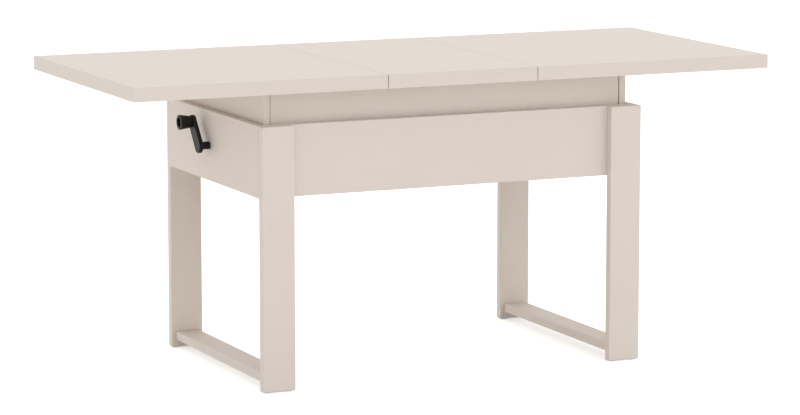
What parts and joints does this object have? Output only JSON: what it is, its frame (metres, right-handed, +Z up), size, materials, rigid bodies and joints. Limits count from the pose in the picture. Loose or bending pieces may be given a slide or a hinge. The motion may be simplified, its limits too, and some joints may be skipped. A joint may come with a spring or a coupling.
{
  "type": "convertible coffee dining table",
  "caption": "Extending table on a crank-driven scissor lift: a box under the sliding top halves and loose leaf rises out of an apron base on board legs.",
  "frame": {"origin": "on the floor under the middle of the top", "axes": "+X along the table away from the crank, +Y to the back, +Z up"},
  "size_m": [1.575, 0.68, 0.708],
  "materials": {
    "laminate_board": "smooth matt cashmere laminate",
    "plain_wood": "raw planed softwood",
    "zinc_steel": "bright zinc plated",
    "dark_steel": "black powder coat",
    "runner_metal": "mill finish extrusion",
    "black_plastic": "moulded, satin black",
    "nylon": "natural nylon"
  },
  "bodies": {
    "base_frame": {"leg_front_left": "laminate_board", "leg_front_right": "laminate_board", "leg_rear_left": "laminate_board", "leg_rear_right": "laminate_board", "leg_glides": "nylon", "leg_screws": "zinc_steel", "left_foot_rail": "laminate_board", "right_foot_rail": "laminate_board", "front_apron": "laminate_board", "rear_apron": "laminate_board", "crank_end_apron": "laminate_board", "plain_end_apron": "laminate_board", "corner_brackets": "zinc_steel", "base_screws": "zinc_steel", "base_dowels": "plain_wood", "guide_pads": "nylon", "crank_end_beam": "plain_wood", "spindle_beam": "plain_wood", "pivot_beam": "plain_wood", "front_lower_channel": "dark_steel", "rear_lower_channel": "dark_steel", "lower_pivot_shaft": "zinc_steel", "thrust_bearing": "dark_steel", "end_bearing": "dark_steel", "crank_bush": "nylon"},
    "lift_frame": {"front_lift_panel": "laminate_board", "rear_lift_panel": "laminate_board", "crank_lift_panel": "laminate_board", "plain_lift_panel": "laminate_board", "crank_end_cross_rail": "plain_wood", "middle_cross_rail": "plain_wood", "pivot_cross_rail": "plain_wood", "front_upper_channel": "dark_steel", "rear_upper_channel": "dark_steel", "upper_pivot_shaft": "zinc_steel", "front_runner_rail": "runner_metal", "rear_runner_rail": "runner_metal", "lift_screws": "zinc_steel"},
    "outer_arms": {"front_outer_arm": "dark_steel", "rear_outer_arm": "dark_steel", "centre_pivot_pins": "zinc_steel", "outer_arm_rollers": "nylon"},
    "inner_arms": {"front_inner_arm": "dark_steel", "rear_inner_arm": "dark_steel", "drive_tube": "zinc_steel", "inner_arm_rollers": "nylon"},
    "nut": {"lift_nut": "dark_steel"},
    "crank": {"spindle": "zinc_steel", "crank_arm": "black_plastic", "grip_pin": "zinc_steel"},
    "grip": {"crank_grip": "black_plastic"},
    "left_half": {"left_top": "laminate_board", "left_sliders": "runner_metal", "left_top_screws": "zinc_steel"},
    "right_half": {"right_top": "laminate_board", "right_sliders": "runner_metal", "right_top_screws": "zinc_steel"},
    "leaf": {"extension_leaf": "laminate_board", "leaf_cleats": "plain_wood"}
  },
  "joints": [
    {"name": "lift", "type": "slide", "parent": "base_frame", "child": "lift_frame", "axis": [0, 0, 1], "range_m": [-0.07, 0.034]},
    {"name": "outer_arms_turn", "type": "hinge", "parent": "base_frame", "child": "outer_arms", "pos_m": [0.265, 0, 0.48], "axis": [0, 1, 0], "range_deg": [-7.5, 3.7]},
    {"name": "inner_arms_turn", "type": "hinge", "parent": "lift_frame", "child": "inner_arms", "pos_m": [0.265, 0, 0.6265], "axis": [0, 1, 0], "range_deg": [-3.7, 7.5]},
    {"name": "nut_travel", "type": "slide", "parent": "base_frame", "child": "nut", "axis": [1, 0, 0], "range_m": [-0.017, 0.0085]},
    {"name": "crank_turn", "type": "hinge", "parent": "base_frame", "child": "crank", "pos_m": [-0.474, 0.022, 0.52], "axis": [1, 0, 0], "range_deg": [-1485, 722]},
    {"name": "grip_spin", "type": "hinge", "parent": "crank", "child": "grip", "pos_m": [-0.518, 0.06202, 0.57122], "axis": [1, 0, 0], "continuous": true},
    {"name": "left_half_slide", "type": "slide", "parent": "lift_frame", "child": "left_half", "axis": [-1, 0, 0], "range_m": [0, 0.025]},
    {"name": "right_half_slide", "type": "slide", "parent": "lift_frame", "child": "right_half", "axis": [1, 0, 0], "range_m": [0, 0.025]},
    {"name": "leaf_lift_out", "type": "slide", "parent": "lift_frame", "child": "leaf", "axis": [0, 0, 1], "range_m": [0, 0.25]}
  ],
  "couplings": [
    {"joint": "outer_arms_turn", "follows": "lift", "rad_per_m": 1.83},
    {"joint": "inner_arms_turn", "follows": "lift", "rad_per_m": -1.83},
    {"joint": "nut_travel", "follows": "lift", "ratio": 0.235},
    {"joint": "crank_turn", "follows": "lift", "rad_per_m": 369}
  ]
}
